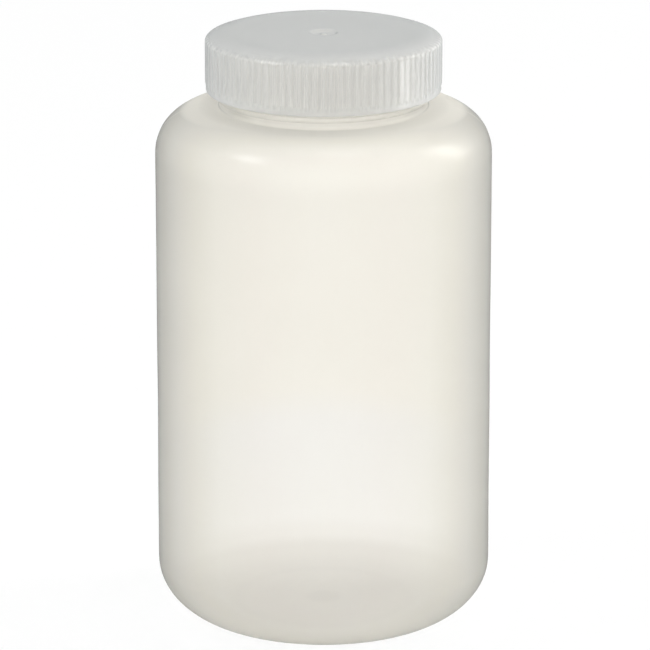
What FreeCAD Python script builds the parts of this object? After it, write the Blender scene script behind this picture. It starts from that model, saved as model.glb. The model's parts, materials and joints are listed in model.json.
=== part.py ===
import FreeCAD, Part
import math
import os

# Wide-mouth reagent bottle, nominal 1000 mL, with a 63 mm ribbed screw cap and a
# loose sealing liner inside the cap. Millimetres, +Z up, origin on the bottle's
# axis in the plane the bottle stands on. The mould's parting plane is XZ.
# Profiles are lists of (radius, z), drawn in the XZ plane and turned about Z.

Vector = FreeCAD.Vector

# ---------------------------------------------------------------- bottle body
BODY_R = 49.0            # outside radius of the straight wall
WALL = 1.5               # thickness of the straight wall
BODY_IN_R = BODY_R - WALL
FLOOR_T = 1.5            # floor thickness
HEEL_W = 22.4            # heel curve, radial semi-axis
HEEL_H = 17.6            # heel curve, vertical semi-axis
STAND_W = 2.0            # width of the flat standing ring
STAND_OUT_R = BODY_R - HEEL_W
STAND_IN_R = STAND_OUT_R - STAND_W
PUSH_UP = 3.2            # height of the concave base at the axis
DOME_R = STAND_IN_R - 1.6    # where the base's dome meets its flare
DOME_EDGE_Z = 0.55
DOME_MID_Z = PUSH_UP * 0.86  # height of the dome at half its radius
DOME_EDGE_DROP = 0.33    # slope of the base where dome and flare meet
FLARE_MID_W = 0.5        # middle point of the flare, inward from the ring
FLARE_MID_H = 0.08       # and above it
WALL_TOP = 140.3         # where the straight wall ends and the shoulder starts
SHOULDER_W = 18.5        # shoulder curve, radial semi-axis
SHOULDER_H = 14.9        # shoulder curve, vertical semi-axis
SHOULDER_N = 2.36        # superellipse exponent of the shoulder
SHOULDER_T = 1.7         # shoulder thickness
SHOULDER_IN_EXTRA = 0.9  # the inside curve reaches this much further inward
SHOULDER_IN_STOP = 0.02  # keeps its last computed point off the inside corner
# mould vestige and pinch-off weld line at the centre of the base
VESTIGE_R = 3.6
VESTIGE_TAPER = 0.35     # the lower face is this much smaller in radius
VESTIGE_H = 0.45
VESTIGE_BURY = 0.6       # how far it reaches into the floor
PINCH_L = 26.0
PINCH_W = 1.0
PINCH_H = 0.3
PINCH_DROP = 0.08        # extra drop below the dome
PINCH_BOX_H = 1.4        # full height, most of it inside the floor

# ----------------------------------------------------------- neck finish, 63 mm
NECK_R = 29.85           # plain neck radius (thread root)
NECK_LOW_R = NECK_R + 0.15   # neck radius below the bead
NECK_FILLET = 1.2        # fillet between the shoulder and the neck
BORE_R = 27.4            # mouth radius
BORE_TURN = 2.2          # radius of the inside corner under the neck
BEAD_R = 30.9            # transfer bead under the cap
BEAD_Z = 157.95          # middle of the bead
BEAD_H = 1.7             # height of the bead
NECK_TOP = 173.65        # sealing land
LAND_EDGE = 0.5          # rounding of the land's edges

# ------------------------- threads, right-handed, single start, 6 turns per inch
PITCH = 4.2333
THREAD_START = 17.0      # angle about +Z where both threads start
THREAD_BURY = 0.6        # how far a thread reaches into its wall
THREAD_SINK = 0.15       # how far the crest lies under the wall at both ends
THREAD_STEP = 12.0       # degrees between loft sections
THREAD_R = 31.15         # crest radius of the neck thread
NECK_THREAD_Z = 163.2    # middle of the neck thread where it starts
NECK_THREAD_TURNS = 1.6
NECK_THREAD_FADE = 30.0  # degrees over which each end sinks into the wall
NECK_THREAD_ROOT = 1.15  # half width at the neck radius
NECK_THREAD_CREST = 0.5  # half width at the crest
CAP_THREAD_CREST_R = 30.2
CAP_THREAD_ROOT = 0.95   # half width at the skirt wall
CAP_THREAD_CREST = 0.4   # half width at the crest
CAP_THREAD_TURNS = 2.2
CAP_THREAD_FADE = 24.0
FLANK_GAP = 0.10         # axial gap between the loaded flanks, cap seated

# --------------------------------------- sealing liner, a flat polyethylene disc
LINER_R = 31.1
LINER_T = 1.05
LINER_GAP = 0.05         # gap to the sealing land and to the cap's deck
LINER_EDGE = 0.12        # chamfer of the rim
LINER_Z = NECK_TOP + LINER_GAP
LINER_TOP = LINER_Z + LINER_T

# ------------------------------------------------- screw cap, injection moulded
CAP_BOTTOM = 159.9
CAP_DECK_T = 2.0         # thickness of the cap's top
DECK_Z = LINER_TOP + LINER_GAP   # underside of the cap's top
CAP_TOP = DECK_Z + CAP_DECK_T
CAP_R = 34.4             # radius over the rib crests
CAP_ROOT_R = 33.91       # radius at the bottom of the grooves
CAP_BAND_R = 34.15       # plain band under the ribs
CAP_BAND_TOP = 161.1
CAP_BAND_SLOPE_H = 0.3   # height of the slope from the band in to the grooves
CAP_FOOT_EDGE = 0.45     # rounding of the band's lower edge
CAP_IN_R = 31.5          # inside radius of the skirt
CAP_LEAD_IN = 0.55       # chamfer at the mouth of the skirt
CAP_DECK_EDGE = 0.3      # chamfer between the skirt and the deck
CAP_EDGE_R = 26.66       # where the flat top turns over into the rounded edge
CAP_EDGE_Z = 174.4       # where the rounded edge meets the skirt
# grip ribs
RIBS = 90
RIB_FOOT_DEG = 1.32      # half angle of a rib at its foot
RIB_CREST_DEG = 0.66     # half angle of a rib at its crest
RIB_INNER_R = 31.9       # the ribs start on the rounded edge, outside this radius
RIB_INNER_Z = 175.85
RIB_CORE_R = (CAP_IN_R + CAP_ROOT_R) / 2  # the ribs are rooted inside the wall
RIB_LOW_Z = CAP_BAND_TOP - 0.2
RIB_FULL_Z = CAP_BAND_TOP + 0.6   # the ribs have their full radius from here up
TOOTH_FOOT_R = RIB_INNER_R - 2.4  # the toothed prism that cuts the ribs apart
TOOTH_TIP_R = CAP_R + 0.3
TOOTH_Z = CAP_BAND_TOP - 1.0
TOOTH_H = 18.0
# gate well in the middle of the cap's top
GATE_R = 4.3
GATE_SLOPE_W = 1.5       # radial width of the well's curved side
GATE_DEPTH = 0.75
GATE_NUB_R = 0.9
GATE_NUB_TOP_IN = 0.25   # the nub's top is this much inside its radius
GATE_NUB_FOOT_OUT = 0.15 # and its foot this much outside
GATE_NUB_H = 0.35


# ------------------------------------------------------------ profiles and solids
def on_plane(point):
    radius, z = point
    return Vector(radius, 0, z)


def chain(*points):
    """Straight edges from point to point."""
    return [Part.makeLine(on_plane(a), on_plane(b)) for a, b in zip(points, points[1:])]


def arc(start, middle, end):
    return Part.Arc(on_plane(start), on_plane(middle), on_plane(end)).toShape()


def round_corner(start, corner, end):
    """Quarter circle that rounds off the square corner between start and end."""
    share = 1 - math.sqrt(0.5)
    middle = [c + share * ((a - c) + (b - c)) for a, c, b in zip(start, corner, end)]
    return arc(start, middle, end)


def spline(points, start_dir, end_dir):
    curve = Part.BSplineCurve()
    curve.interpolate(Points=[on_plane(point) for point in points],
                      InitialTangent=on_plane(start_dir), FinalTangent=on_plane(end_dir))
    return curve.toShape()


def outward(solid):
    """Turn an inside-out solid the right way round."""
    if solid.Volume < 0:
        solid.reverse()
    return solid


def revolve(edges):
    wire = Part.Wire(Part.__sortEdges__(edges))
    turned = Part.Face(wire).revolve(Vector(0, 0, 0), Vector(0, 0, 1), 360)
    return outward(turned.Solids[0])


def joined(base, tools):
    out = base.fuse(tools)
    if len(out.Solids) != 1 or not out.isValid():
        raise SystemExit("a fuse did not give one valid solid")
    return out.Solids[0]


def helical_thread(start_z, turns, wall_r, crest_r, root_half, crest_half, fade_deg):
    """A trapezoid lofted along a helix on the wall at wall_r. Both ends sink into
    that wall over fade_deg."""
    total = 360.0 * turns
    steps = int(round(total / THREAD_STEP))
    side = 1.0 if crest_r > wall_r else -1.0
    depth = abs(crest_r - wall_r)
    slope = (root_half - crest_half) / depth
    buried_r = wall_r - side * THREAD_BURY
    sections = []
    for i in range(steps + 1):
        turned = total * i / steps
        rise = min(1.0, turned / fade_deg, (total - turned) / fade_deg)
        rise = rise * rise * (3 - 2 * rise)
        height = depth * rise - THREAD_SINK * (1 - rise)
        top_half = crest_half * (0.5 + 0.5 * rise)
        buried_half = top_half + slope * (height + THREAD_BURY)
        top_r = wall_r + side * height
        z = start_z + PITCH * turned / 360.0
        angle = math.radians(turned + THREAD_START)
        trapezoid = ((buried_r, z - buried_half), (top_r, z - top_half),
                     (top_r, z + top_half), (buried_r, z + buried_half))
        corners = [Vector(radius * math.cos(angle), radius * math.sin(angle), corner_z)
                   for radius, corner_z in trapezoid]
        sections.append(Part.makePolygon(corners + [corners[0]]))
    return outward(Part.makeLoft(sections, True, False))


# --------------------------------------------------------------- bottle body
def heel_points(semi_w, semi_h, start_deg, end_deg):
    steps = 12
    out = []
    for i in range(steps + 1):
        angle = math.radians(start_deg + (end_deg - start_deg) * i / steps)
        out.append((STAND_OUT_R + semi_w * math.cos(angle), HEEL_H + semi_h * math.sin(angle)))
    return out


def shoulder_points(centre_r, semi_w, semi_h, end_r):
    """Superellipse from the top of the straight wall in to the radius end_r."""
    steps = 16
    end_angle = math.acos(((end_r - centre_r) / semi_w) ** (SHOULDER_N / 2.0))
    power = 2.0 / SHOULDER_N
    out = []
    for i in range(steps + 1):
        angle = end_angle * i / steps
        out.append((centre_r + semi_w * math.cos(angle) ** power,
                    WALL_TOP + semi_h * math.sin(angle) ** power))
    return out


def floor_top(points):
    """The inside of the floor over underside points, run back towards the axis."""
    return [(radius, z + FLOOR_T) for radius, z in reversed(points)]


def neck_edges(shoulder_z, shoulder_in_z):
    """From the outside of the shoulder up the neck, over the land and down the bore."""
    neck_start = shoulder_z + NECK_FILLET
    bead_low, bead_high = BEAD_Z - BEAD_H / 2, BEAD_Z + BEAD_H / 2
    edge_z = NECK_TOP - LAND_EDGE
    land_out, land_in = NECK_R - LAND_EDGE, BORE_R + LAND_EDGE
    bore_low = shoulder_in_z + BORE_TURN
    return [
        round_corner((NECK_LOW_R + NECK_FILLET, shoulder_z), (NECK_LOW_R, shoulder_z),
                     (NECK_LOW_R, neck_start)),
        *chain((NECK_LOW_R, neck_start), (NECK_LOW_R, bead_low)),
        arc((NECK_LOW_R, bead_low), (BEAD_R, BEAD_Z), (NECK_R, bead_high)),
        *chain((NECK_R, bead_high), (NECK_R, edge_z)),
        round_corner((NECK_R, edge_z), (NECK_R, NECK_TOP), (land_out, NECK_TOP)),
        *chain((land_out, NECK_TOP), (land_in, NECK_TOP)),
        round_corner((land_in, NECK_TOP), (BORE_R, NECK_TOP), (BORE_R, edge_z)),
        *chain((BORE_R, edge_z), (BORE_R, bore_low)),
        round_corner((BORE_R, bore_low), (BORE_R, shoulder_in_z),
                     (BORE_R + BORE_TURN, shoulder_in_z)),
    ]


def body_edges():
    dome = [(0, PUSH_UP), (DOME_R * 0.5, DOME_MID_Z), (DOME_R, DOME_EDGE_Z)]
    flare = [(DOME_R, DOME_EDGE_Z), (STAND_IN_R - FLARE_MID_W, FLARE_MID_H), (STAND_IN_R, 0)]
    shoulder = shoulder_points(BODY_R - SHOULDER_W, SHOULDER_W, SHOULDER_H,
                               NECK_LOW_R + NECK_FILLET)
    shoulder_z = shoulder[-1][1]
    in_z = shoulder_z - SHOULDER_T
    corner_r = BORE_R + BORE_TURN
    in_semi_w = BODY_IN_R - (BODY_R - SHOULDER_W) + SHOULDER_IN_EXTRA
    shoulder_in = shoulder_points(BODY_IN_R - in_semi_w, in_semi_w, in_z - WALL_TOP,
                                  corner_r + SHOULDER_IN_STOP)
    shoulder_in[-1] = (corner_r, in_z)
    return [
        # underside and outside, from the axis up to the neck
        spline(dome, (1, 0), (1, -DOME_EDGE_DROP)),
        spline(flare, (1, -DOME_EDGE_DROP), (1, 0)),
        *chain((STAND_IN_R, 0), (STAND_OUT_R, 0)),
        spline(heel_points(HEEL_W, HEEL_H, -90, 0), (1, 0), (0, 1)),
        *chain((BODY_R, HEEL_H), (BODY_R, WALL_TOP)),
        spline(shoulder, (0, 1), (-1, 0.02)),
        *neck_edges(shoulder_z, in_z),
        # inside, from the neck down to the floor and back to the axis
        spline(list(reversed(shoulder_in)), (1, 0), (0, -1)),
        *chain((BODY_IN_R, WALL_TOP), (BODY_IN_R, HEEL_H)),
        spline(heel_points(HEEL_W - WALL, HEEL_H - FLOOR_T, 0, -90), (0, -1), (-1, 0)),
        *chain((STAND_OUT_R, FLOOR_T), (STAND_IN_R, FLOOR_T)),
        spline(floor_top(flare), (-1, 0), (-1, DOME_EDGE_DROP)),
        spline(floor_top(dome), (-1, DOME_EDGE_DROP), (-1, 0)),
        *chain((0, PUSH_UP + FLOOR_T), (0, PUSH_UP)),
    ]


def make_bottle_body():
    body = revolve(body_edges())
    thread = helical_thread(NECK_THREAD_Z, NECK_THREAD_TURNS, NECK_R, THREAD_R,
                            NECK_THREAD_ROOT, NECK_THREAD_CREST, NECK_THREAD_FADE)
    body = joined(body, [thread])
    # both stand out below the concave base; the weld line runs along X
    vestige = Part.makeCone(VESTIGE_R - VESTIGE_TAPER, VESTIGE_R, VESTIGE_H + VESTIGE_BURY,
                            Vector(0, 0, PUSH_UP - VESTIGE_H))
    pinch = Part.makeBox(PINCH_L, PINCH_W, PINCH_BOX_H,
                         Vector(-PINCH_L / 2, -PINCH_W / 2, DOME_MID_Z - PINCH_H - PINCH_DROP))
    return joined(body, [vestige, pinch])


# ----------------------------------------------------------------- screw cap
def edge_points(outer_r, degrees):
    """Points on the cap's rounded top edge, for the outline that reaches outer_r."""
    return [(CAP_EDGE_R + (outer_r - CAP_EDGE_R) * math.cos(math.radians(angle)),
             CAP_EDGE_Z + (CAP_TOP - CAP_EDGE_Z) * math.sin(math.radians(angle)))
            for angle in degrees]


def cap_edges():
    well_z = CAP_TOP - GATE_DEPTH
    nub_z = well_z + GATE_NUB_H
    slope_r = GATE_R - GATE_SLOPE_W
    foot_z = CAP_BOTTOM + CAP_FOOT_EDGE
    foot_r = CAP_BAND_R - CAP_FOOT_EDGE
    return [
        # gate well
        *chain((0, nub_z), (GATE_NUB_R - GATE_NUB_TOP_IN, nub_z),
               (GATE_NUB_R + GATE_NUB_FOOT_OUT, well_z), (slope_r, well_z)),
        spline([(slope_r, well_z), (GATE_R - GATE_SLOPE_W / 2, well_z + GATE_DEPTH * 0.5),
                (GATE_R, CAP_TOP)], (1, 0), (1, 0)),
        # flat top, rounded edge, skirt and the plain band at its foot
        *chain((GATE_R, CAP_TOP), *edge_points(CAP_ROOT_R, (90, 62, 30, 0)),
               (CAP_ROOT_R, CAP_BAND_TOP + CAP_BAND_SLOPE_H), (CAP_BAND_R, CAP_BAND_TOP),
               (CAP_BAND_R, foot_z)),
        round_corner((CAP_BAND_R, foot_z), (CAP_BAND_R, CAP_BOTTOM), (foot_r, CAP_BOTTOM)),
        # inside: lead-in, skirt wall, deck
        *chain((foot_r, CAP_BOTTOM), (CAP_IN_R + CAP_LEAD_IN, CAP_BOTTOM),
               (CAP_IN_R, CAP_BOTTOM + CAP_LEAD_IN), (CAP_IN_R, DECK_Z - CAP_DECK_EDGE),
               (CAP_IN_R - CAP_DECK_EDGE, DECK_Z), (0, DECK_Z), (0, nub_z)),
    ]


def flank_half_sum(radius):
    """Half widths of the neck and cap threads at one radius, added."""
    neck_half = (NECK_THREAD_ROOT + (NECK_THREAD_CREST - NECK_THREAD_ROOT)
                 * (radius - NECK_R) / (THREAD_R - NECK_R))
    cap_half = (CAP_THREAD_CREST + (CAP_THREAD_ROOT - CAP_THREAD_CREST)
                * (radius - CAP_THREAD_CREST_R) / (CAP_IN_R - CAP_THREAD_CREST_R))
    return neck_half + cap_half


def make_cap_thread():
    """Internal thread, sitting just under the neck thread's lower flank."""
    # the sum is linear, so it is greatest at one end of the radial overlap
    half_sum = max(flank_half_sum(CAP_THREAD_CREST_R), flank_half_sum(THREAD_R))
    return helical_thread(NECK_THREAD_Z - half_sum - FLANK_GAP, CAP_THREAD_TURNS, CAP_IN_R,
                          CAP_THREAD_CREST_R, CAP_THREAD_ROOT, CAP_THREAD_CREST,
                          CAP_THREAD_FADE)


def make_ribs():
    """Grip ribs: a toothed prism trimmed to the outline over the rib crests."""
    outline = revolve(chain(
        (RIB_CORE_R, RIB_LOW_Z), (CAP_BAND_R - 0.1, RIB_LOW_Z), (CAP_R, RIB_FULL_Z),
        *edge_points(CAP_R, (0, 30)),
        (RIB_INNER_R, RIB_INNER_Z), (RIB_INNER_R, RIB_INNER_Z - 0.35),
        (RIB_CORE_R, DECK_Z + 0.1), (RIB_CORE_R, RIB_LOW_Z)))
    foot, crest = math.radians(RIB_FOOT_DEG), math.radians(RIB_CREST_DEG)
    tooth = ((TOOTH_FOOT_R, -foot), (TOOTH_TIP_R, -crest),
             (TOOTH_TIP_R, crest), (TOOTH_FOOT_R, foot))
    corners = []
    for i in range(RIBS):
        middle = 2 * math.pi * (i + 0.5) / RIBS
        for radius, offset in tooth:
            corners.append(Vector(radius * math.cos(middle + offset),
                                  radius * math.sin(middle + offset), TOOTH_Z))
    teeth = Part.Face(Part.makePolygon(corners + [corners[0]])).extrude(Vector(0, 0, TOOTH_H))
    return outline.common(teeth).Solids


def make_screw_cap():
    cap = joined(revolve(cap_edges()), [make_cap_thread()])
    return joined(cap, make_ribs())


# ----------------------------------------------------------------- cap liner
def make_cap_liner():
    flat_r = LINER_R - LINER_EDGE
    return revolve(chain(
        (0, LINER_Z), (flat_r, LINER_Z), (LINER_R, LINER_Z + LINER_EDGE),
        (LINER_R, LINER_TOP - LINER_EDGE), (flat_r, LINER_TOP), (0, LINER_TOP), (0, LINER_Z)))


os.makedirs("parts", exist_ok=True)
for name, make in (("bottle_body", make_bottle_body), ("screw_cap", make_screw_cap),
                   ("cap_liner", make_cap_liner)):
    make().exportStep("parts/%s.step" % name)
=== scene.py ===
# A wide-necked bottle of milky plastic with a ribbed screw cap and a liner disc inside the cap.
# The bottle stands upright on z = 0 with its axis on Z. The camera looks from -Y, so +X is to
# the right. The mould seam of the body runs up both sides, at +X and -X.
import json
import math
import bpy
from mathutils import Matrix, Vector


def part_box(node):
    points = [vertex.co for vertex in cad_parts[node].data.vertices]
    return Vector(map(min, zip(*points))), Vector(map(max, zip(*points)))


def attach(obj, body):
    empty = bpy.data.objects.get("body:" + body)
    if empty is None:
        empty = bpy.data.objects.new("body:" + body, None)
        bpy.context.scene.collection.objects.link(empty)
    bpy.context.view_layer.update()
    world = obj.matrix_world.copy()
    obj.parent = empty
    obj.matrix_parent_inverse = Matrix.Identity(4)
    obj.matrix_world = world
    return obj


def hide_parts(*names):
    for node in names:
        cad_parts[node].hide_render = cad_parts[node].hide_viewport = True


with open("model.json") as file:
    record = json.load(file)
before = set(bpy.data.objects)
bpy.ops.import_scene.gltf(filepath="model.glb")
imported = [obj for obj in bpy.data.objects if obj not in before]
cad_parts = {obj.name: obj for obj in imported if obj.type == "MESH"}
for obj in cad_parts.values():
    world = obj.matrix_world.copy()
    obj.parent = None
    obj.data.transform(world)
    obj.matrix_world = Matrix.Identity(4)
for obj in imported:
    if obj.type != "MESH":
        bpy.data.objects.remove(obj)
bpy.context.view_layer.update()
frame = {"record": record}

from types import SimpleNamespace

import bpy
import numpy as np
from mathutils import Vector

MM = 0.001


# ---------------------------------------------------------------- sizes from the CAD pieces, mm
_, body_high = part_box("bottle_body")
cap_low, cap_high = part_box("screw_cap")
liner_low, liner_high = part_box("cap_liner")
barrel = next(m for m in frame["record"]["mounts"] if m["name"] == "body_barrel")
barrel_length = barrel["dims"]["length_mm"]
barrel_middle = barrel["pos_m"][2] / MM

BODY_R = body_high.x / MM
NECK_TOP = body_high.z / MM
CAP_BOTTOM = cap_low.z / MM
CAP_TOP = cap_high.z / MM
CAP_R = cap_high.y / MM
LINER_R = liner_high.x / MM
LINER_BOTTOM = liner_low.z / MM
LINER_TOP = liner_high.z / MM
HEEL_TOP = barrel_middle - barrel_length / 2
WALL_TOP = barrel_middle + barrel_length / 2    # bottom of the shoulder curve

# ---------------------------------------------------------------- body, mm
WALL = 1.5
FLOOR = 1.5
HEEL_W = 22.4
STAND_W = 2.0                   # flat ring the bottle stands on
STAND_OUT = BODY_R - HEEL_W
STAND_IN = STAND_OUT - STAND_W
PUSH_UP = 3.2                   # height of the domed underside at the axis
DOME_R = STAND_IN - 1.6
DOME_EDGE_Z = 0.55
WELD_HALF_LENGTH = 12.8         # pinch-off weld line, along X
SHOULDER_W = 18.5
SHOULDER_H = 14.9
SHOULDER_POWER = 2.36           # exponent of the superellipse
SHOULDER_WALL = 1.7
NECK_R = 29.85
NECK_ROOT_R = NECK_R + 0.15
NECK_FILLET = 1.2
BORE_R = 27.4
BORE_TURN = 2.2                 # radius where the bore turns into the shoulder
BEAD_R = 30.9
BEAD_Z = 157.95
BEAD_H = 1.7
BEAD_FOOT_R = NECK_R + 0.12
LAND_EDGE = 0.5                 # rounding of the sealing land
COLUMNS = 236                   # even columns round the body
SEAM_STEP = math.radians(0.16)  # spacing of the extra columns at the seam
SEAM_WIDTH = math.radians(0.2)

# ---------------------------------------------------------------- cap, mm
CAP_ROOT_R = 33.91              # between the ribs
CAP_BAND_R = 34.15              # plain band under the ribs
CAP_BAND_TOP = 161.1
CAP_IN_R = 31.5
DECK = 2.0
CAP_EDGE_R = 26.66              # where the rounded top edge starts
CAP_EDGE_Z = 174.4
CAP_FOOT_EDGE = 0.45
RIBS = 90
RIB_COLUMNS = 10
GATE_R = 4.3
GATE_DEPTH = 0.75
SPLIT_DEG = -46.4               # mould split line, right of the front
LINER_EDGE = 0.12

# ---------------------------------------------------------------- threads, mm and degrees
PITCH = 4.2333
THREAD_START_DEG = 17.0
NECK_THREAD = dict(start_z=163.2, turns=1.6, depth=31.15 - NECK_R, foot=1.15, crest=0.5, fade=30.0)
CAP_THREAD = dict(start_z=NECK_THREAD["start_z"] - 1.475, turns=2.2, depth=CAP_IN_R - 30.2,
                  foot=0.95, crest=0.4, fade=24.0)


# ---------------------------------------------------------------- profile helpers
def smooth(t):
    """Ease from 0 to 1 as t goes from 0 to 1."""
    t = np.clip(t, 0.0, 1.0)
    return t * t * (3 - 2 * t)


def below(value, edge, width):
    """0 from the edge up, easing to 1 over the width below it."""
    return smooth((edge - value) / width)


def between(value, low, high, width):
    """1 between low and high, easing to 0 at both over the width."""
    return smooth((value - low) / width) * below(value, high, width)


def resample(points, step):
    """Even points along a polyline of (r, z)."""
    points = np.array(points, float)
    along = np.r_[0, np.cumsum(np.hypot(*np.diff(points, axis=0).T))]
    count = max(2, int(math.ceil(along[-1] / step)) + 1)
    places = np.linspace(0, along[-1], count)
    return np.stack([np.interp(places, along, points[:, 0]),
                     np.interp(places, along, points[:, 1])], 1)


def ellipse(centre_r, centre_z, radius_r, radius_z, start_deg, end_deg):
    t = np.radians(np.linspace(start_deg, end_deg, 200))
    return np.stack([centre_r + radius_r * np.cos(t), centre_z + radius_z * np.sin(t)], 1)


def shoulder_curve(centre_r, radius_r, radius_z, end_r):
    """Superellipse from the top of the wall up and in to end_r."""
    end_cos = ((end_r - centre_r) / radius_r) ** (SHOULDER_POWER / 2.0)
    t = np.linspace(0, math.acos(end_cos), 260)
    power = 2 / SHOULDER_POWER
    return np.stack([centre_r + radius_r * np.cos(t) ** power,
                     WALL_TOP + radius_z * np.sin(t) ** power], 1)


def helix_height(theta, z, start_z, turns, depth, foot, crest, fade):
    """Height in mm of a trapezoid helix above its wall. It fades in and out over `fade`
    degrees; foot and crest are the widths of the trapezoid."""
    height = np.zeros(np.broadcast(theta, z).shape)
    slope = (foot - crest) / depth
    end = 360.0 * turns
    for k in range(-1, int(turns) + 3):
        turned = np.degrees(theta) - THREAD_START_DEG + 360.0 * k
        full = smooth(np.minimum(turned / fade, (end - turned) / fade))
        top = depth * full - 0.15 * (1 - full)
        half = crest * (0.5 + 0.5 * full)
        off = np.abs(z - (start_z + PITCH * turned / 360.0))
        flank = top - np.maximum(0.0, off - half) / slope
        # small rounding of the crest's edges
        flank = flank - 0.05 * smooth((off - half + 0.12) / 0.24) * below(off, half + 0.3, 0.2)
        on = (turned >= 0) & (turned <= end)
        height = np.maximum(height, np.where(on, flank, 0.0))
    return height


def ripple(theta, z, phase):
    """A slow waviness, periodic round the axis, as a blown wall has."""
    waves = (   # waves round the axis, rate along z, weight
        (2, 0.021, 0.5), (3, -0.037, 0.35), (5, 0.06, 0.22), (1, 0.048, 0.35), (7, -0.09, 0.1),
    )
    total = 0.0
    for i, (around, rate, weight) in enumerate(waves):
        angle = around * theta + rate * z * 2 * math.pi / 2.2 + 1.7 * i + phase
        total = total + weight * np.sin(angle)
    return total


def even_angles(count):
    return np.arange(count) * 2 * math.pi / count


# ---------------------------------------------------------------- mesh builder
class Skin:
    """A closed skin built ring by ring, from one point on the axis to another."""

    def __init__(self):
        self.points = []
        self.faces = []
        self.face_slots = []
        self.slot = 0           # material slot of the faces being added
        self.row = None
        self.start = None

    def _add_points(self, points):
        first = len(self.points)
        self.points.extend(tuple(p) for p in points)
        return list(range(first, len(self.points)))

    def _add_face(self, *corners):
        self.faces.append(corners)
        self.face_slots.append(self.slot)

    def _add_fans(self, fine, coarse, order):
        """Join two rings of different counts; order -1 reverses the faces."""
        ratio = len(fine) // len(coarse)
        half = ratio // 2
        for k, corner in enumerate(coarse):
            following = coarse[(k + 1) % len(coarse)]
            span = [fine[(k * ratio + j) % len(fine)] for j in range(ratio + 1)]
            triangles = [(span[j], span[j + 1], corner) for j in range(half)]
            triangles.append((span[half], following, corner))
            triangles += [(span[j], span[j + 1], following) for j in range(half, ratio)]
            for triangle in triangles:
                self._add_face(*triangle[::order])

    def pole(self, z):
        """Start or close the skin at a point on the axis."""
        tip = self._add_points([(0.0, 0.0, z)])[0]
        if self.row is not None:
            for k, corner in enumerate(self.row):
                self._add_face(corner, self.row[(k + 1) % len(self.row)], tip)
        self.row = None
        self.start = tip

    def ring(self, theta, r, z):
        r = np.broadcast_to(r, theta.shape)
        z = np.broadcast_to(z, theta.shape)
        new = self._add_points(np.stack([r * np.cos(theta), r * np.sin(theta), z], 1))
        old = self.row
        count = len(new)
        if old is None:
            for k in range(count):
                self._add_face(self.start, new[(k + 1) % count], new[k])
        elif len(old) == count:
            for k in range(count):
                after = (k + 1) % count
                self._add_face(old[k], old[after], new[after], new[k])
        elif len(old) > count:
            self._add_fans(old, new, 1)
        else:
            self._add_fans(new, old, -1)
        self.row = new

    def arc(self, theta, centre_r, centre_z, radius, degrees):
        """Rings along a round edge; 0 degrees is outward and 90 is up."""
        for deg in degrees:
            a = math.radians(deg)
            self.ring(theta, centre_r + radius * math.cos(a), centre_z + radius * math.sin(a))

    def build(self, name, sharp_deg=38.0):
        mesh = bpy.data.meshes.new(name)
        mesh.from_pydata([(x * MM, y * MM, z * MM) for x, y, z in self.points], [], self.faces)
        mesh.polygons.foreach_set("material_index", self.face_slots)
        mesh.update()
        # a negative signed volume means the normals point inward
        points = np.array([v.co for v in mesh.vertices])
        mesh.calc_loop_triangles()
        corners = np.array([t.vertices for t in mesh.loop_triangles])
        a, b, c = (points[corners[:, i]] for i in range(3))
        if float(np.einsum("ij,ij->i", a, np.cross(b, c)).sum()) < 0:
            mesh.flip_normals()
        mesh.polygons.foreach_set("use_smooth", [True] * len(mesh.polygons))
        mesh.set_sharp_from_angle(angle=math.radians(sharp_deg))
        mesh.update()
        piece = bpy.data.objects.new(name, mesh)
        bpy.context.scene.collection.objects.link(piece)
        return piece


# ---------------------------------------------------------------- bottle body
def body_angles():
    """Even columns, with extra ones close to the seam at +X and -X."""
    extra = np.array([side * k * SEAM_STEP + centre
                      for centre in (0.0, math.pi) for side in (-1, 1) for k in (1, 2, 4)])
    return np.unique(np.round(np.r_[even_angles(COLUMNS), np.mod(extra, 2 * math.pi)], 9))


def dome_z(r):
    t = np.clip(r / DOME_R, 0, 1)
    return DOME_EDGE_Z + (PUSH_UP - DOME_EDGE_Z) * (1 - t ** 2.3)


def add_underside(skin, theta):
    """Push-up with the mould's round vestige, the weld line and a faint ring, then the
    standing ring."""
    skin.pole(PUSH_UP - 0.25)
    radii = np.r_[np.arange(0.5, 4.6, 0.3), np.arange(4.9, 14.2, 0.55),
                  np.linspace(14.8, DOME_R, 9)]
    for r in radii:
        x, y = r * np.cos(theta), r * np.sin(theta)
        vestige = 0.45 * below(r, 3.75, 0.5) - 0.2 * below(r, 1.6, 0.5)
        weld = (below(np.abs(y), 0.62, 0.34) * below(np.abs(x), WELD_HALF_LENGTH, 1.2)
                * (0.30 + 0.04 * np.sin(x * 1.9)))
        faint_ring = 0.10 * np.exp(-((r - 13.9) / 0.35) ** 2)
        skin.ring(theta, r, dome_z(r) - np.maximum(vestige, weld) - faint_ring)
    for r, z in ((STAND_IN - 1.0, 0.24), (STAND_IN - 0.5, 0.07), (STAND_IN, 0.0),
                 (STAND_IN + 0.6, 0.0), (STAND_OUT - 0.5, 0.0), (STAND_OUT, 0.0)):
        skin.ring(theta, r, z)


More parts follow.
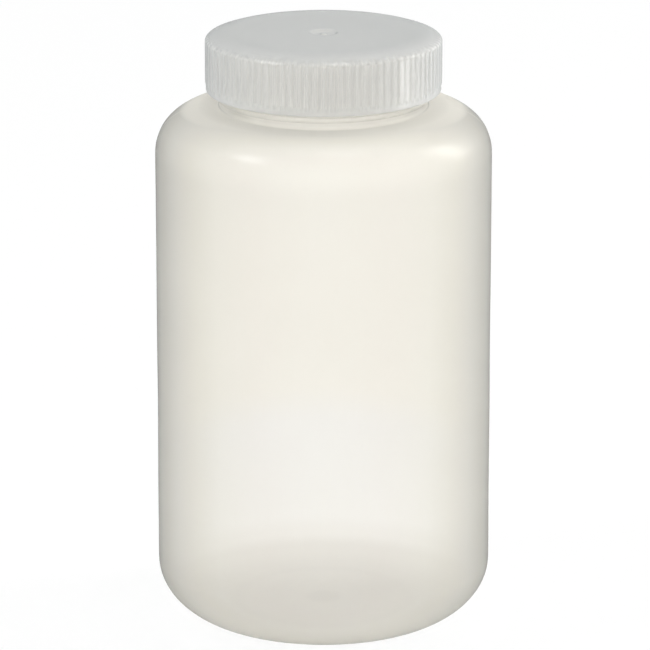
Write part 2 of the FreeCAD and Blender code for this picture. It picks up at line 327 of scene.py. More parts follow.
def add_outer_wall(skin, theta, seam):
    """Heel, straight wall and shoulder. Returns the height of the shoulder's top."""
    for r, z in resample(ellipse(STAND_OUT, HEEL_TOP, HEEL_W, HEEL_TOP, -90, 0), 0.95)[1:]:
        skin.ring(theta, r + seam * 0.07 * smooth(z / 4), z)
    for z in np.linspace(HEEL_TOP, WALL_TOP, 30)[1:]:
        wavy = between(z, HEEL_TOP, WALL_TOP, 12) * 0.045 * (ripple(theta, z, 0.4) - 1.0)
        skin.ring(theta, BODY_R + wavy + seam * 0.07, z)
    shoulder = shoulder_curve(BODY_R - SHOULDER_W, SHOULDER_W, SHOULDER_H,
                              NECK_ROOT_R + NECK_FILLET)
    for r, z in resample(shoulder, 0.75)[1:]:
        skin.ring(theta, r + seam * 0.05, z + seam * 0.04)
    return shoulder[-1][1]


def add_neck(skin, theta, seam, shoulder_top):
    """Fillet, transfer bead, threaded neck and sealing land."""
    skin.arc(theta, NECK_ROOT_R + NECK_FILLET, shoulder_top + NECK_FILLET, NECK_FILLET,
             (245, 225, 202, 180))
    skin.ring(theta, NECK_ROOT_R, BEAD_Z - BEAD_H / 2 - 0.08)
    for t in np.linspace(0.0, 1.0, 11):
        a = math.pi * t
        bulge = (BEAD_R - BEAD_FOOT_R) * math.sin(a) ** 0.8
        skin.ring(theta, BEAD_FOOT_R + bulge + seam * 0.08, BEAD_Z - BEAD_H / 2 * math.cos(a))
    for z in np.arange(BEAD_Z + BEAD_H / 2 + 0.15, NECK_TOP - LAND_EDGE - 0.01, 0.13):
        height = helix_height(theta, z, **NECK_THREAD)
        skin.ring(theta, NECK_R + height + seam * 0.05, z)
    land_z = NECK_TOP - LAND_EDGE
    skin.arc(theta, NECK_R - LAND_EDGE, land_z, LAND_EDGE, (0, 30, 60, 90))
    for r in (29.0, 28.4):
        skin.ring(theta, r, NECK_TOP)
    skin.arc(theta, BORE_R + LAND_EDGE, land_z, LAND_EDGE, (90, 120, 150, 180))


def add_inside(skin, theta, shoulder_top):
    """The inner face, from the bore down to the floor."""
    top = shoulder_top - SHOULDER_WALL
    for z in np.linspace(NECK_TOP - LAND_EDGE, top + BORE_TURN, 12)[1:]:
        # the blown inside follows the outer thread a little
        skin.ring(theta, BORE_R + 0.12 * helix_height(theta, z, **NECK_THREAD), z)
    skin.arc(theta, BORE_R + BORE_TURN, top + BORE_TURN, BORE_TURN, (200, 225, 250, 270))
    inner_r = BODY_R - WALL
    width = inner_r - (BODY_R - SHOULDER_W) + 0.9
    shoulder = shoulder_curve(inner_r - width, width, top - WALL_TOP, BORE_R + BORE_TURN + 0.02)
    for r, z in resample(shoulder[::-1], 1.1)[1:]:
        skin.ring(theta, r, z)
    for z in np.linspace(WALL_TOP, HEEL_TOP, 26)[1:]:
        wavy = between(z, HEEL_TOP, WALL_TOP, 12) * 0.10 * ripple(theta, z, 2.1)
        skin.ring(theta, inner_r + wavy, z)
    heel = ellipse(STAND_OUT, HEEL_TOP, HEEL_W - WALL, HEEL_TOP - FLOOR, 0, -90)
    for r, z in resample(heel, 1.1)[1:]:
        skin.ring(theta, r, z)
    skin.ring(theta, STAND_IN, FLOOR)
    skin.ring(theta, STAND_IN - 0.5, FLOOR + 0.08)
    # floor: sunk along the weld line, raised over the vestige
    for r in (*np.linspace(DOME_R, 5.5, 14), 4.8, 4.2, 3.6, 3.0, 2.4, 1.8, 1.2, 0.6):
        x, y = r * np.cos(theta), r * np.sin(theta)
        sink = 0.16 * below(np.abs(y), 1.3, 1.2) * below(np.abs(x), WELD_HALF_LENGTH, 1.6)
        skin.ring(theta, r, dome_z(r) + FLOOR + 0.22 * below(r, 3.9, 1.0) - sink)
    skin.pole(PUSH_UP + FLOOR + 0.1)


def make_bottle():
    theta = body_angles()
    seam_off = np.minimum(np.abs(np.mod(theta + math.pi, 2 * math.pi) - math.pi),
                          np.abs(theta - math.pi))
    seam = np.exp(-(seam_off / SEAM_WIDTH) ** 2)
    skin = Skin()
    add_underside(skin, theta)
    shoulder_top = add_outer_wall(skin, theta, seam)
    add_neck(skin, theta, seam, shoulder_top)
    skin.slot = 1
    add_inside(skin, theta, shoulder_top)
    return skin.build("bottle_body_shell")


# ---------------------------------------------------------------- screw cap
def add_cap_top(skin, coarse):
    """Gate well at the centre, then the nearly flat top."""
    well = CAP_TOP - GATE_DEPTH
    skin.pole(well + 0.42)
    profile = (     # radius, rise above the bottom of the well
        (0.45, 0.40), (0.75, 0.28), (1.0, 0.04), (1.3, 0.0), (2.0, 0.0), (2.7, 0.01),
        (3.1, 0.10), (3.5, 0.33), (3.85, 0.58), (4.15, 0.71), (GATE_R + 0.15, GATE_DEPTH - 0.01),
    )
    for r, rise in profile:
        # the stub at the axis is higher on one side
        nub = 0.12 * np.exp(-((coarse - 2.4) / 0.5) ** 2) if r < 1.1 else 0.0
        skin.ring(coarse, r, well + rise + nub)
    for r in (5.2, 7.0, 9.5, 12.5, 15.5, 18.5, 21.5, 24.0, 25.6):
        skin.ring(coarse, r, CAP_TOP - 0.02 * math.sin(r * 0.9) - 0.02)
    skin.ring(coarse, CAP_EDGE_R, CAP_TOP - 0.01)


def add_cap_skirt(skin, fine):
    """Rounded edge where the ribs start, ribbed skirt, plain band and rounded foot."""
    phase = np.mod(fine * RIBS / (2 * math.pi), 1.0)     # 0.5 is the middle of a rib
    rib = below(np.abs(phase - 0.5), 0.37, 0.17)
    rib_height = CAP_R - CAP_ROOT_R
    for deg in (84, 76, 68, 60, 53, 47, 43, 40, 37, 34, 31, 28, 25, 21, 16, 10, 5, 0):
        across = math.cos(math.radians(deg))
        z = CAP_EDGE_Z + (CAP_TOP - CAP_EDGE_Z) * math.sin(math.radians(deg))
        grown = float(below(deg, 41, 15.0))
        lift = rib * grown
        groove = (1 - rib) * 0.05 * grown * smooth(deg / 20.0)
        root = CAP_EDGE_R + (CAP_ROOT_R - CAP_EDGE_R) * across
        skin.ring(fine, root + rib_height * across * lift - groove, z + 0.02 * lift - groove)
    # the mould split leaves a fine upright groove
    split = np.exp(-((fine - math.radians(SPLIT_DEG + 360)) / math.radians(0.55)) ** 2)
    for z in (173.9, 172.5, 170.5, 168.0, 165.5, 163.5, 162.9, 162.5, 162.1, 161.8, 161.5, 161.2):
        ribbed = smooth((z - CAP_BAND_TOP) / 1.6)
        root = CAP_BAND_R + (CAP_ROOT_R - CAP_BAND_R) * ribbed
        skin.ring(fine, root + rib_height * rib * ribbed - split * 0.10 * ribbed, z)
    foot_z = CAP_BOTTOM + CAP_FOOT_EDGE
    skin.ring(fine, CAP_BAND_R, CAP_BAND_TOP - 0.1)
    skin.ring(fine, CAP_BAND_R, foot_z)
    skin.arc(fine, CAP_BAND_R - CAP_FOOT_EDGE, foot_z, CAP_FOOT_EDGE, (-30, -60, -90))


def add_cap_inside(skin, coarse):
    """Chamfered mouth, thread and the underside of the top."""
    deck = CAP_TOP - DECK
    skin.ring(coarse, CAP_IN_R + 0.55, CAP_BOTTOM + 0.05)
    skin.ring(coarse, CAP_IN_R, CAP_BOTTOM + 0.6)
    for z in np.arange(CAP_BOTTOM + 0.8, deck - 0.35, 0.14):
        skin.ring(coarse, CAP_IN_R - helix_height(coarse, z, **CAP_THREAD), z)
    skin.ring(coarse, CAP_IN_R, deck - 0.3)
    skin.ring(coarse, CAP_IN_R - 0.12, deck - 0.1)
    skin.ring(coarse, CAP_IN_R - 0.4, deck)
    for r in (29.0, 25.0, 20.0, 14.0, 8.0, 3.0, 1.0):
        skin.ring(coarse, r, deck)
    skin.pole(deck)


def make_cap():
    fine_count = RIBS * RIB_COLUMNS
    fine, coarse = even_angles(fine_count), even_angles(fine_count // 4)
    skin = Skin()
    add_cap_top(skin, coarse)
    add_cap_skirt(skin, fine)
    skin.ring(coarse, CAP_IN_R + 0.75, CAP_BOTTOM)
    skin.slot = 1
    add_cap_inside(skin, coarse)
    return skin.build("screw_cap_shell", sharp_deg=42.0)


# ---------------------------------------------------------------- liner
def make_liner():
    theta = even_angles(180)
    edge_r = LINER_R - LINER_EDGE
    skin = Skin()
    skin.pole(LINER_BOTTOM)
    for r in (2, 6, 10, 14, 18, 22, 25.5):
        skin.ring(theta, r, LINER_BOTTOM + 0.004 * math.sin(r))
    # ring pressed in by the sealing land
    for r in np.linspace(26.4, 30.6, 15):
        skin.ring(theta, r, LINER_BOTTOM + 0.05 * between(r, 26.9, 30.3, 0.5))
    skin.arc(theta, edge_r, LINER_BOTTOM + LINER_EDGE, LINER_EDGE, (-90, -60, -30, 0))
    skin.arc(theta, edge_r, LINER_TOP - LINER_EDGE, LINER_EDGE, (0, 30, 60, 90))
    for r in (28, 22, 15, 8, 3):
        skin.ring(theta, r, LINER_TOP)
    skin.pole(LINER_TOP)
    return skin.build("cap_liner_disc")


# ---------------------------------------------------------------- shader helpers
class Graph:
    """A cleared node tree. Every input takes either a value or a socket to link."""

    def __init__(self, tree):
        self.nodes = tree.nodes
        self.links = tree.links
        self.nodes.clear()

    def add(self, kind, inputs=None, **settings):
        """A new node; inputs is keyed by socket name or number."""
        made = self.nodes.new("ShaderNode" + kind)
        for name, value in settings.items():
            setattr(made, name, value)
        for key, value in (inputs or {}).items():
            if isinstance(value, bpy.types.NodeSocket):
                self.links.new(value, made.inputs[key])
            elif value is not None:
                made.inputs[key].default_value = value
        return made

    def make(self, kind, **inputs):
        """The first output of a new node."""
        return self.add(kind, inputs).outputs[0]

    def math(self, operation, first, second=None, clamp=False):
        return self.add("Math", {0: first, 1: second}, operation=operation,
                        use_clamp=clamp).outputs[0]

    def product(self, first, *others):
        for other in others:
            first = self.math("MULTIPLY", first, other)
        return first

    def vector(self, operation, first, second=None, scale=None):
        made = self.add("VectorMath", {0: first, 1: second, "Scale": scale}, operation=operation)
        return made.outputs["Value" if operation in ("DOT_PRODUCT", "LENGTH") else "Vector"]

    def unit_sum(self, first, second):
        return self.vector("NORMALIZE", self.vector("ADD", first, second))

    def blend_normals(self, first, second, share):
        """Unit vector between two, with the given share of the second."""
        return self.unit_sum(self.vector("SCALE", first, scale=1.0 - share),
                             self.vector("SCALE", second, scale=share))

    def split(self, vector):
        return tuple(self.add("SeparateXYZ", {0: vector}).outputs)

    def map_range(self, value, from_min, from_max, to_min=0.0, to_max=1.0, eased=False):
        inputs = {"Value": value, "From Min": from_min, "From Max": from_max,
                  "To Min": to_min, "To Max": to_max}
        kind = "SMOOTHSTEP" if eased else "LINEAR"
        return self.add("MapRange", inputs, interpolation_type=kind).outputs[0]

    def mix_float(self, factor, first, second):
        return self.add("Mix", {0: factor, 2: first, 3: second}, data_type="FLOAT").outputs[0]

    def mix_colour(self, blend, first, second, factor=1.0):
        return self.add("Mix", {0: factor, 6: first, 7: second}, data_type="RGBA",
                        blend_type=blend).outputs[2]

    def mix_shader(self, factor, first, second):
        return self.add("MixShader", {0: factor, 1: first, 2: second}).outputs[0]

    def noise(self, vector, scale, detail, roughness=0.5):
        return self.make("TexNoise", Vector=vector, Scale=scale, Detail=detail,
                         Roughness=roughness)

    def ramp(self, factor, stops, interpolation="LINEAR"):
        made = self.add("ValToRGB", {"Fac": factor})
        made.color_ramp.interpolation = interpolation
        elements = made.color_ramp.elements
        elements[0].position, elements[0].color = stops[0]
        elements[1].position, elements[1].color = stops[-1]
        for position, colour in stops[1:-1]:
            elements.new(position).color = colour
        return made.outputs["Color"]


def new_material(name):
    material = bpy.data.materials.new(name)
    material.use_nodes = True
    return material, Graph(material.node_tree)


def grey(value):
    return (value, value, value, 1.0)


def srgb_stops(*rows):
    """Ramp stops from rows of position and 8-bit sRGB red, green, blue."""
    def linear(channel):
        c = channel / 255.0
        return c / 12.92 if c <= 0.04045 else ((c + 0.055) / 1.055) ** 2.4
    return [(position, (*map(linear, rgb), 1.0)) for position, *rgb in rows]


def place_stops(table, low, high):
    """Ramp stops from (place in mm, colour or grey value); low and high are the ramp's ends."""
    return [((place - low) / (high - low), value if isinstance(value, tuple) else grey(value))
            for place, value in table]


def wall_noises(graph, place, streak):
    """Slow thickness variation, vertical flow streaks, and both mixed with fine haze."""
    stretched = graph.make("Mapping", Vector=place, Scale=(1.0, 1.0, 0.16))
    slow = graph.noise(place, scale=26.0, detail=3.0)
    streaks = graph.noise(stretched, scale=150.0, detail=4.0, roughness=0.55)
    fine = graph.noise(place, scale=900.0, detail=3.0, roughness=0.6)
    haze = graph.mix_float(0.18, graph.mix_float(streak, slow, streaks), fine)
    return slow, streaks, haze


def view_sockets(graph, soft):
    """Sockets that tell how the surface lies to the line of sight. The round normal is that
    of a plain body of revolution; the soft normal leans to it by the share `soft`."""
    geometry = graph.add("NewGeometry").outputs
    normal, incoming = geometry["Normal"], geometry["Incoming"]
    x, y, z = graph.split(geometry["Position"])
    flat = graph.make("CombineXYZ", X=x, Y=y)
    radial = graph.vector("NORMALIZE", flat)
    normal_z = graph.split(normal)[2]
    outward = graph.vector("DOT_PRODUCT", normal, radial)
    round_normal = graph.unit_sum(graph.vector("SCALE", radial, scale=outward),
                                  graph.make("CombineXYZ", Z=normal_z))
    soft_normal = graph.blend_normals(normal, round_normal, soft)
    return SimpleNamespace(
        normal=normal, incoming=incoming, backfacing=geometry["Backfacing"], flat=flat, z=z,
        normal_z=normal_z, round_normal=round_normal, soft_normal=soft_normal,
        face=graph.math("ABSOLUTE", graph.vector("DOT_PRODUCT", soft_normal, incoming)),
        camera=graph.add("LightPath").outputs["Is Camera Ray"])


def brightness_step(graph, view, up, down, level_min, neck):
    """Place on the brightness ramp: 0 edge-on, 1 face-on, raised where light collects."""
    rising = graph.math("POWER", graph.math("MAXIMUM", view.normal_z, 0.0), 4.0)
    falling = graph.math("POWER", graph.math("MAXIMUM", graph.product(view.normal_z, -1.0), 0.0),
                         2.0)
    lift = graph.math("ADD", graph.product(rising, up), graph.product(falling, down))
    level = graph.map_range(view.normal_z, from_min=0.80, from_max=0.95, to_max=level_min,
                            eased=True)
    step = graph.math("MAXIMUM", graph.math("ADD", view.face, lift, clamp=True), level)
    if neck:
        # the neck glows with the light the shoulder and the cap pass on to it
        above = graph.math("GREATER_THAN", view.z, neck["from_z"] * MM)
        step = graph.math("MAXIMUM", step, graph.product(above, neck["least"]))
    return step


def show_hollow(graph, view, colour, hollow):
    """Painted shade on the near wall for the far wall and the floor seen through it, placed by
    where the line of sight meets them.
    """
    sight_x, sight_y, sight_z = graph.split(view.incoming)
    sight_flat = graph.make("CombineXYZ", X=sight_x, Y=sight_y)
    toward = graph.vector("DOT_PRODUCT", view.flat, sight_flat)
    sight_square = graph.math("MAXIMUM", graph.vector("DOT_PRODUCT", sight_flat, sight_flat), 0.02)
    far_distance = graph.product(graph.math("DIVIDE", toward, sight_square), 2.0)
    far_z = graph.math("SUBTRACT", view.z, graph.product(far_distance, sight_z))
    facing = graph.map_range(view.face, from_min=0.35, from_max=0.92)
    seen_in = graph.product(facing, view.camera, graph.math("SUBTRACT", 1.0, view.backfacing))

    low, high = hollow["far_range"]
    far_place = graph.map_range(far_z, from_min=low * MM, from_max=high * MM)
    # steep views look past the far wall, so its part in the shading fades out
    not_steep = graph.map_range(sight_z, from_min=0.42, from_max=0.72, to_min=1.0, to_max=0.0,
                                eased=True)
    near_half = graph.map_range(toward, from_min=0.0, from_max=10 * MM, eased=True)
    far_seen = graph.product(seen_in, graph.product(not_steep, near_half))
    far_wall_shade = graph.ramp(far_place, place_stops(hollow["far"], low, high), "EASE")
    colour = graph.mix_colour("MULTIPLY", colour, far_wall_shade, far_seen)

    drop = graph.math("SUBTRACT", view.z, hollow["floor_z"] * MM)
    floor_distance = graph.math("DIVIDE", drop, graph.math("MAXIMUM", sight_z, 0.02))
    floor_point = graph.vector("SUBTRACT", view.flat,
                               graph.vector("SCALE", sight_flat, scale=floor_distance))
    span = hollow["floor_span"]
    floor_place = graph.math("MULTIPLY", graph.vector("LENGTH", floor_point), 1 / (span * MM),
                             clamp=True)
    floor_shade = graph.ramp(floor_place, place_stops(hollow["floor"], 0, span), "EASE")
    return graph.mix_colour("MULTIPLY", colour, floor_shade, seen_in)


def fill_ribs(graph, view, colour, amount):
    """Light scattered inside the wall fills the flanks of the ribs, which shade themselves."""
    leaning = graph.vector("DOT_PRODUCT", view.normal, view.round_normal)
    gain = graph.map_range(leaning, from_min=1.0, from_max=0.45, to_min=1.0, to_max=1.0 + amount)
    gain_colour = graph.make("CombineColor", Red=gain, Green=gain, Blue=gain)
    return graph.mix_colour("MULTIPLY", colour, gain_colour, view.camera)


def draw_witness(graph, local, colour, lines):
    """Thin upright lines left by the mould's split."""
    local_x, local_y, local_z = local
    angle = graph.math("ARCTAN2", local_y, local_x)
    for line in lines:
        off = graph.math("ABSOLUTE", graph.math("SUBTRACT", angle, math.radians(line["deg"])))
        near = graph.map_range(off, from_min=math.radians(line["half_deg"]), from_max=0.0,
                               eased=True)
        above = graph.math("GREATER_THAN", local_z, line["low"] * MM)
        under = graph.math("LESS_THAN", local_z, line["high"] * MM)
        colour = graph.mix_colour("MULTIPLY", colour, grey(1.0 - line["dark"]),
                                  graph.product(near, above, under))
    return colour


HEIGHT_SPAN = 200.0     # mm covered by the ramps of brightness by height


def sheet(name, *, stops, albedo, tints, clear, clear_rough, clear_ior, through, gloss_rough,
          gloss_cap, bump, streak, soft=0.0, soft_gloss=0.0, up=0.0, down=0.0, level_min=0.0,
          heights=None, hollow=None, witness=None, rib_fill=0.0, neck=None):
    """Milky translucent plastic as a scattering sheet: part reflects, part lets light
    through softly, part is seen through with a blur.
    stops: colour seen by the camera, from edge-on to face-on, standing partly for the length of
    the path inside the wall and partly painted shade at the edges. albedo: colour for all other
    rays. tints: ends of the haze.
    clear: share seen through. through: share of the milky part that lets light through.
    gloss_cap: most reflection. bump: depth in metres. streak: share of streaks in the haze.
    soft, soft_gloss: how far scatter washes out ribs, in the body and in the gloss.
    up, down: painted light that lifts faces looking up or down. level_min: least step of
    level faces, painted light from above.
    heights: (z in mm, factor). neck: least step above a height."""
    material, graph = new_material(name)
    place = graph.add("TexCoord").outputs["Object"]
    slow, streaks, haze = wall_noises(graph, place, streak)
    view = view_sockets(graph, soft)

    step = brightness_step(graph, view, up, down, level_min, neck)
    seen = graph.mix_colour("MIX", albedo, graph.ramp(step, stops), view.camera)
    tint = graph.ramp(haze, [(0.30, tints[0]), (0.70, tints[1])])
    colour = graph.mix_colour("MULTIPLY", seen, tint)
    if heights:
        local = graph.split(place)
        height = graph.math("MULTIPLY", local[2], 1 / (HEIGHT_SPAN * MM), clamp=True)
        # painted light and shade by height, seen by the camera only
        by_height = graph.ramp(height, place_stops(heights, 0, HEIGHT_SPAN))
        colour = graph.mix_colour("MULTIPLY", colour, by_height, view.camera)
        if witness:
            wash = fill_ribs(graph, view, colour, rib_fill)
            colour = draw_witness(graph, local, wash, witness)
    if hollow:
        colour = show_hollow(graph, view, colour, hollow)

    grain = graph.noise(place, scale=620.0, detail=4.0, roughness=0.6)
    grain_bump = graph.make("Bump", Strength=0.35, Distance=bump, Height=grain)
    normal = graph.make("Bump", Strength=0.30, Distance=bump * 4.0, Height=streaks,
                        Normal=grain_bump)
    milky_normal = graph.blend_normals(normal, view.soft_normal, soft)
    gloss_normal = graph.blend_normals(normal, view.soft_normal, soft_gloss)
    roughness = graph.map_range(slow, from_min=0.3, from_max=0.7, to_min=gloss_rough,
                                to_max=gloss_rough + 0.06)

    milky = graph.mix_shader(
        through,
        graph.make("BsdfDiffuse", Color=colour, Normal=milky_normal),
        graph.make("BsdfTranslucent", Color=colour, Normal=milky_normal))
    glass = graph.make("BsdfGlass", Color=colour, Roughness=clear_rough, IOR=clear_ior,
                       Normal=view.soft_normal)
    body = graph.mix_shader(clear, milky, glass)
    fresnel = graph.make("Fresnel", IOR=1.5, Normal=gloss_normal)
    shine = graph.product(graph.math("MINIMUM", fresnel, gloss_cap),
                          graph.math("SUBTRACT", 1.0, view.backfacing))
    gloss = graph.make("BsdfGlossy", Color=(0.95, 0.95, 0.94, 1), Roughness=roughness,
                       Normal=gloss_normal)
    graph.add("OutputMaterial", {"Surface": graph.mix_shader(shine, body, gloss)})
    return material


def inner_skin(name, gloss_rough, tint):
    """The inside face of the wall: the haze is in the outer sheet, so this one only
    tints, and shines a little where the mould or the air left it smooth."""
    material, graph = new_material(name)
    place = graph.add("TexCoord").outputs["Object"]
    _, streaks, haze = wall_noises(graph, place, streak=0.3)
    colour = graph.ramp(haze, [(0.3, tint), (0.7, (1, 1, 1, 1))])
    clear = graph.make("BsdfTransparent", Color=colour)
    normal = graph.make("Bump", Strength=0.4, Distance=0.00008, Height=streaks)
    fresnel = graph.make("Fresnel", IOR=1.3, Normal=normal)
    # a little over half the mirror reflection, capped
    shine = graph.math("MINIMUM", graph.product(fresnel, 0.6), 0.15)
    gloss = graph.make("BsdfGlossy", Roughness=gloss_rough, Normal=normal)
    graph.add("OutputMaterial", {"Surface": graph.mix_shader(shine, clear, gloss)})
    return material


# ---------------------------------------------------------------- material tables
# step from edge-on to face-on, then sRGB colour; the darker edge-on colours are partly painted
# shade
BODY_STOPS = srgb_stops(
    (0.00, 140, 140, 138), (0.10, 158, 157, 153), (0.22, 179, 178, 173), (0.31, 189, 187, 181),
    (0.43, 203, 201, 195), (0.53, 215, 212, 205), (0.62, 225, 222, 214), (0.74, 236, 233, 226),
    (0.89, 244, 240, 234), (1.00, 250, 247, 241))
CAP_STOPS = srgb_stops(
    (0.00, 175, 177, 178), (0.18, 195, 196, 196), (0.40, 211, 211, 210), (0.75, 219, 218, 215),
    (1.00, 223, 221, 217))
LINER_STOPS = srgb_stops((0.0, 215, 215, 210), (0.5, 232, 232, 226), (1.0, 240, 240, 234))

# height in mm, brightness factor: painted shade at the foot and over the neck fillet and bead,
# painted light near 40 mm and near 155 mm
BODY_PAINTED_SHADING_BY_HEIGHT = [
    (0, 0.90), (4, 0.92), (10, 0.965), (20, 0.99), (28, 1.015), (40, 1.038), (55, 1.022),
    (75, 1.005), (100, 0.995), (138, 1.0), (145, 1.015), (151, 1.02), (153.5, 1.06),
    (155.0, 1.11), (155.6, 0.90), (156.6, 0.86), (157.2, 0.90), (159, 0.87), (160, 0.92),
    (163, 0.985), (200, 0.985)]
# painted light where the skirt turns over into the top, and darker over the top
CAP_PAINTED_SHADING_BY_HEIGHT = [
    (0, 1.0), (172.0, 1.0), (173.4, 1.02), (175.0, 1.03), (175.9, 0.965), (176.6, 0.93),
    (200, 0.93)]

BODY_HOLLOW_SHADE = {
    # height on the far wall in mm, painted shade and tint
    "far_range": (-40, 160),
    "far": [
        (-40, 0.84), (-4, 0.84), (3, 0.88), (8, (0.95, 0.955, 0.965, 1)),
        (14, (0.982, 0.993, 1.012, 1)), (42, (0.982, 0.994, 1.018, 1)),
        (56, (0.992, 0.99, 0.975, 1)), (160, (0.992, 0.99, 0.975, 1))],
    # radius on the floor in mm, painted shade
    "floor_z": 4.0,
    "floor_span": 60.0,
    "floor": [(0, 0.965), (3.0, 0.97), (7.0, 1.0), (22.0, 1.0), (25.5, 0.988), (29.0, 1.0),
              (60, 1.0)],
}
# angle round the axis, half width, darkening, and the heights in mm the line runs between
WITNESS = [
    dict(deg=SPLIT_DEG, half_deg=0.75, dark=0.14, low=161.0, high=175.4),
    dict(deg=-52.6, half_deg=0.6, dark=0.05, low=170.0, high=175.4)]

body_plastic = sheet(
    "milky_polyolefin", stops=BODY_STOPS, albedo=(0.985, 0.982, 0.972, 1),
    tints=((0.988, 0.986, 0.980, 1), (1.0, 1.0, 1.0, 1)),
    clear=0.40, clear_rough=0.45, clear_ior=1.15, through=0.68,
    gloss_rough=0.30, gloss_cap=0.10, bump=0.00003, streak=0.45,
    up=0.10, down=0.45, level_min=0.50, heights=BODY_PAINTED_SHADING_BY_HEIGHT, hollow=BODY_HOLLOW_SHADE,
    neck=dict(from_z=155.6, least=0.52))
body_inside = inner_skin("milky_polyolefin_inside", gloss_rough=0.35,
                         tint=(0.985, 0.982, 0.975, 1))
cap_plastic = sheet(
    "moulded_polypropylene", stops=CAP_STOPS, albedo=(0.97, 0.97, 0.965, 1),
    tints=((0.975, 0.980, 0.983, 1), (1.0, 1.0, 0.995, 1)),
    clear=0.22, clear_rough=0.60, clear_ior=1.20, through=0.30,
    gloss_rough=0.20, gloss_cap=0.12, bump=0.00002, streak=0.25,
    soft=0.96, soft_gloss=1.0, down=0.5, heights=CAP_PAINTED_SHADING_BY_HEIGHT, rib_fill=0.42, witness=WITNESS)
cap_inside = inner_skin("moulded_polypropylene_inside", gloss_rough=0.30,
                        tint=(0.97, 0.975, 0.975, 1))
liner_plastic = sheet(
    "soft_polyethylene_sheet", stops=LINER_STOPS, albedo=(0.93, 0.93, 0.92, 1),
    tints=((0.97, 0.97, 0.965, 1), (1.0, 1.0, 1.0, 1)),
    clear=0.10, clear_rough=0.70, clear_ior=1.15, through=0.45,
    gloss_rough=0.42, gloss_cap=0.08, bump=0.00003, streak=0.10)


# ---------------------------------------------------------------- pieces
def install(piece, part, replaced, slot, *materials):
    for material in materials:
        piece.data.materials.append(material)
    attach(piece, part)
    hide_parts(replaced)
    return piece


install(make_bottle(), "bottle", "bottle_body", "body_plastic", body_plastic, body_inside)
cap = install(make_cap(), "cap", "screw_cap", "cap_plastic", cap_plastic, cap_inside)
install(make_liner(), "liner", "cap_liner", "liner_plastic", liner_plastic)


# ---------------------------------------------------------------- floor
def paper_material():
    """Pale paper that glows to the camera but only scatters light for other rays."""
    material, graph = new_material("pale_paper")
    place = graph.add("TexCoord").outputs["Object"]
    grain = graph.noise(place, scale=220.0, detail=3.0)
    colour = graph.ramp(grain, [(0.3, (0.86, 0.86, 0.855, 1)), (0.7, (0.90, 0.90, 0.895, 1))])
    paper = graph.make("BsdfDiffuse", Color=colour)
    glow = graph.make("Emission", Color=(1, 1, 1, 1), Strength=1.0)
    seen = graph.mix_shader(0.90, paper, glow)
    camera_ray = graph.add("LightPath").outputs["Is Camera Ray"]
    graph.add("OutputMaterial", {"Surface": graph.mix_shader(camera_ray, paper, seen)})
    return material


def make_floor():
    cells = 24
    half = 6.0          # metres
    z = -0.00005        # just under the bottle, metres
    row = cells + 1
    points = [((i / cells * 2 - 1) * half, (j / cells * 2 - 1) * half, z)
              for j in range(row) for i in range(row)]
    faces = [(j * row + i, j * row + i + 1, (j + 1) * row + i + 1, (j + 1) * row + i)
             for j in range(cells) for i in range(cells)]
    mesh = bpy.data.meshes.new("studio_floor")
    mesh.from_pydata(points, [], faces)
    floor = bpy.data.objects.new("studio_floor", mesh)
    bpy.context.scene.collection.objects.link(floor)
    mesh.materials.append(paper_material())


make_floor()


# ---------------------------------------------------------------- world
def make_world():
    """White to the camera; as a light it is dimmer overhead and on the left."""
    world = bpy.data.worlds.new("soft_studio")
    bpy.context.scene.world = world
    world.use_nodes = True
    graph = Graph(world.node_tree)
    x, _, z = graph.split(graph.add("TexCoord").outputs["Generated"])
    by_height = graph.ramp(z, [
        (0.0, (1.0, 1.0, 1.0, 1)), (0.35, (0.97, 0.97, 0.97, 1)),
        (0.7, (0.74, 0.75, 0.76, 1)), (1.0, (0.66, 0.67, 0.69, 1))])
    by_side = graph.ramp(graph.map_range(x, from_min=-1.0, from_max=1.0), [
        (0.0, (0.875, 0.90, 0.915, 1)), (0.5, (0.97, 0.97, 0.965, 1)),
        (1.0, (1.04, 1.03, 1.01, 1))])
    light = graph.make("Background", Strength=1.08,
                       Color=graph.mix_colour("MULTIPLY", by_height, by_side))
    backdrop = graph.make("Background", Strength=1.0, Color=(1, 1, 1, 1))
    camera_ray = graph.add("LightPath").outputs["Is Camera Ray"]
    graph.add("OutputWorld", {"Surface": graph.mix_shader(camera_ray, light, backdrop)})


make_world()


# ---------------------------------------------------------------- lights, metres and watts
def area(name, location, target, width, height, power, colour=(1, 1, 1)):
    light = bpy.data.lights.new(name, "AREA")
    light.shape = "RECTANGLE"
    light.size = width
    light.size_y = height
    light.energy = power
    light.color = colour
    light.spread = math.pi
    lamp = bpy.data.objects.new(name, light)
    lamp.location = location
    aim = Vector(target) - Vector(location)
    lamp.rotation_euler = aim.to_track_quat("-Z", "Y").to_euler()
    bpy.context.scene.collection.objects.link(lamp)
    return lamp


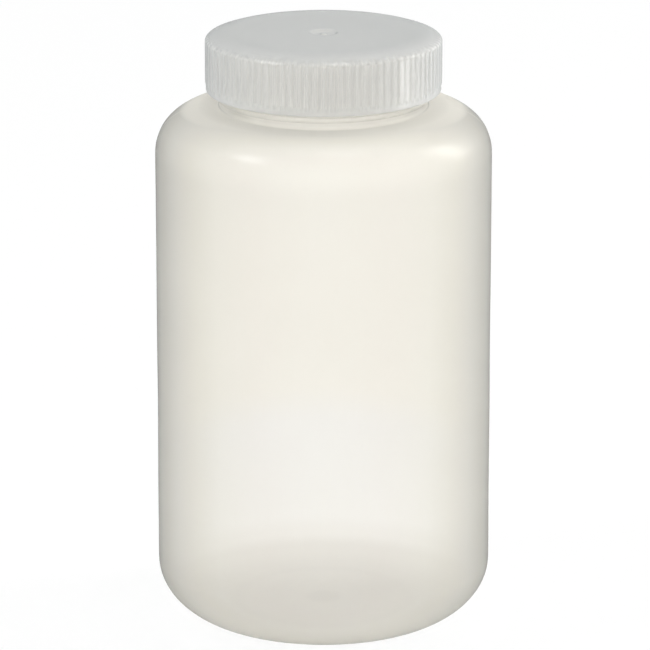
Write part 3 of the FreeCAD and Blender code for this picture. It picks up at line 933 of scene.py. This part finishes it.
# tall softbox at the right and a little behind, small ones high at the left and overhead
area("softbox_right", location=(1.137, 0.393, 0.804), target=(0.035, -0.03, 0.15),
     width=0.30, height=0.80, power=5.6, colour=(1.0, 0.99, 0.97))
area("softbox_left", location=(-0.786, -0.274, 1.17), target=(-0.020, -0.041, 0.15),
     width=0.16, height=0.14, power=3.2, colour=(0.98, 0.99, 1.0))
area("softbox_top", location=(0.16, -0.05, 1.50), target=(0.0, -0.03, 0.17),
     width=0.22, height=0.12, power=1.6)
# fill from the right that leaves no reflection
fill = area("fill_right", location=(1.45, 0.30, 0.35), target=(0.0, 0.0, 0.12),
            width=0.60, height=0.80, power=6.5)
fill.visible_glossy = False
# a small card low at the right, only for the soft reflection in the cap's skirt
card = area("card_cap", location=(0.410, -0.050, 0.056), target=(0.024, -0.025, 0.168),
            width=0.07, height=0.09, power=0.12)
card.visible_diffuse = False
card.visible_transmission = False
card.visible_camera = False
cap_only = bpy.data.collections.new("card_receivers")
cap_only.objects.link(cap)
card.light_linking.receiver_collection = cap_only

# ---------------------------------------------------------------- camera
CAMERA_BACK = 29.449        # in body radii
CAMERA_UP = 10.456          # in body radii
CAMERA_TILT = 0.2857        # radians below level

camera_data = bpy.data.cameras.new("view")
camera_data.sensor_fit = "HORIZONTAL"
camera_data.sensor_width = 36.0
camera_data.lens = 283.176
camera_data.shift_x = 0.00215384615
camera_data.clip_start = 0.05
camera_data.clip_end = 30.0
camera = bpy.data.objects.new("view", camera_data)
camera.location = (0.0, -CAMERA_BACK * BODY_R * MM, CAMERA_UP * BODY_R * MM)
camera.rotation_euler = (math.pi / 2 - CAMERA_TILT, 0.0, 0.0)
bpy.context.scene.collection.objects.link(camera)
bpy.context.scene.camera = camera

# ---------------------------------------------------------------- render settings
scene = bpy.context.scene
scene.view_settings.view_transform = "Standard"
scene.view_settings.look = "None"
scene.cycles.max_bounces = 16
scene.cycles.diffuse_bounces = 8
scene.cycles.glossy_bounces = 6
scene.cycles.transmission_bounces = 14
scene.cycles.transparent_max_bounces = 12
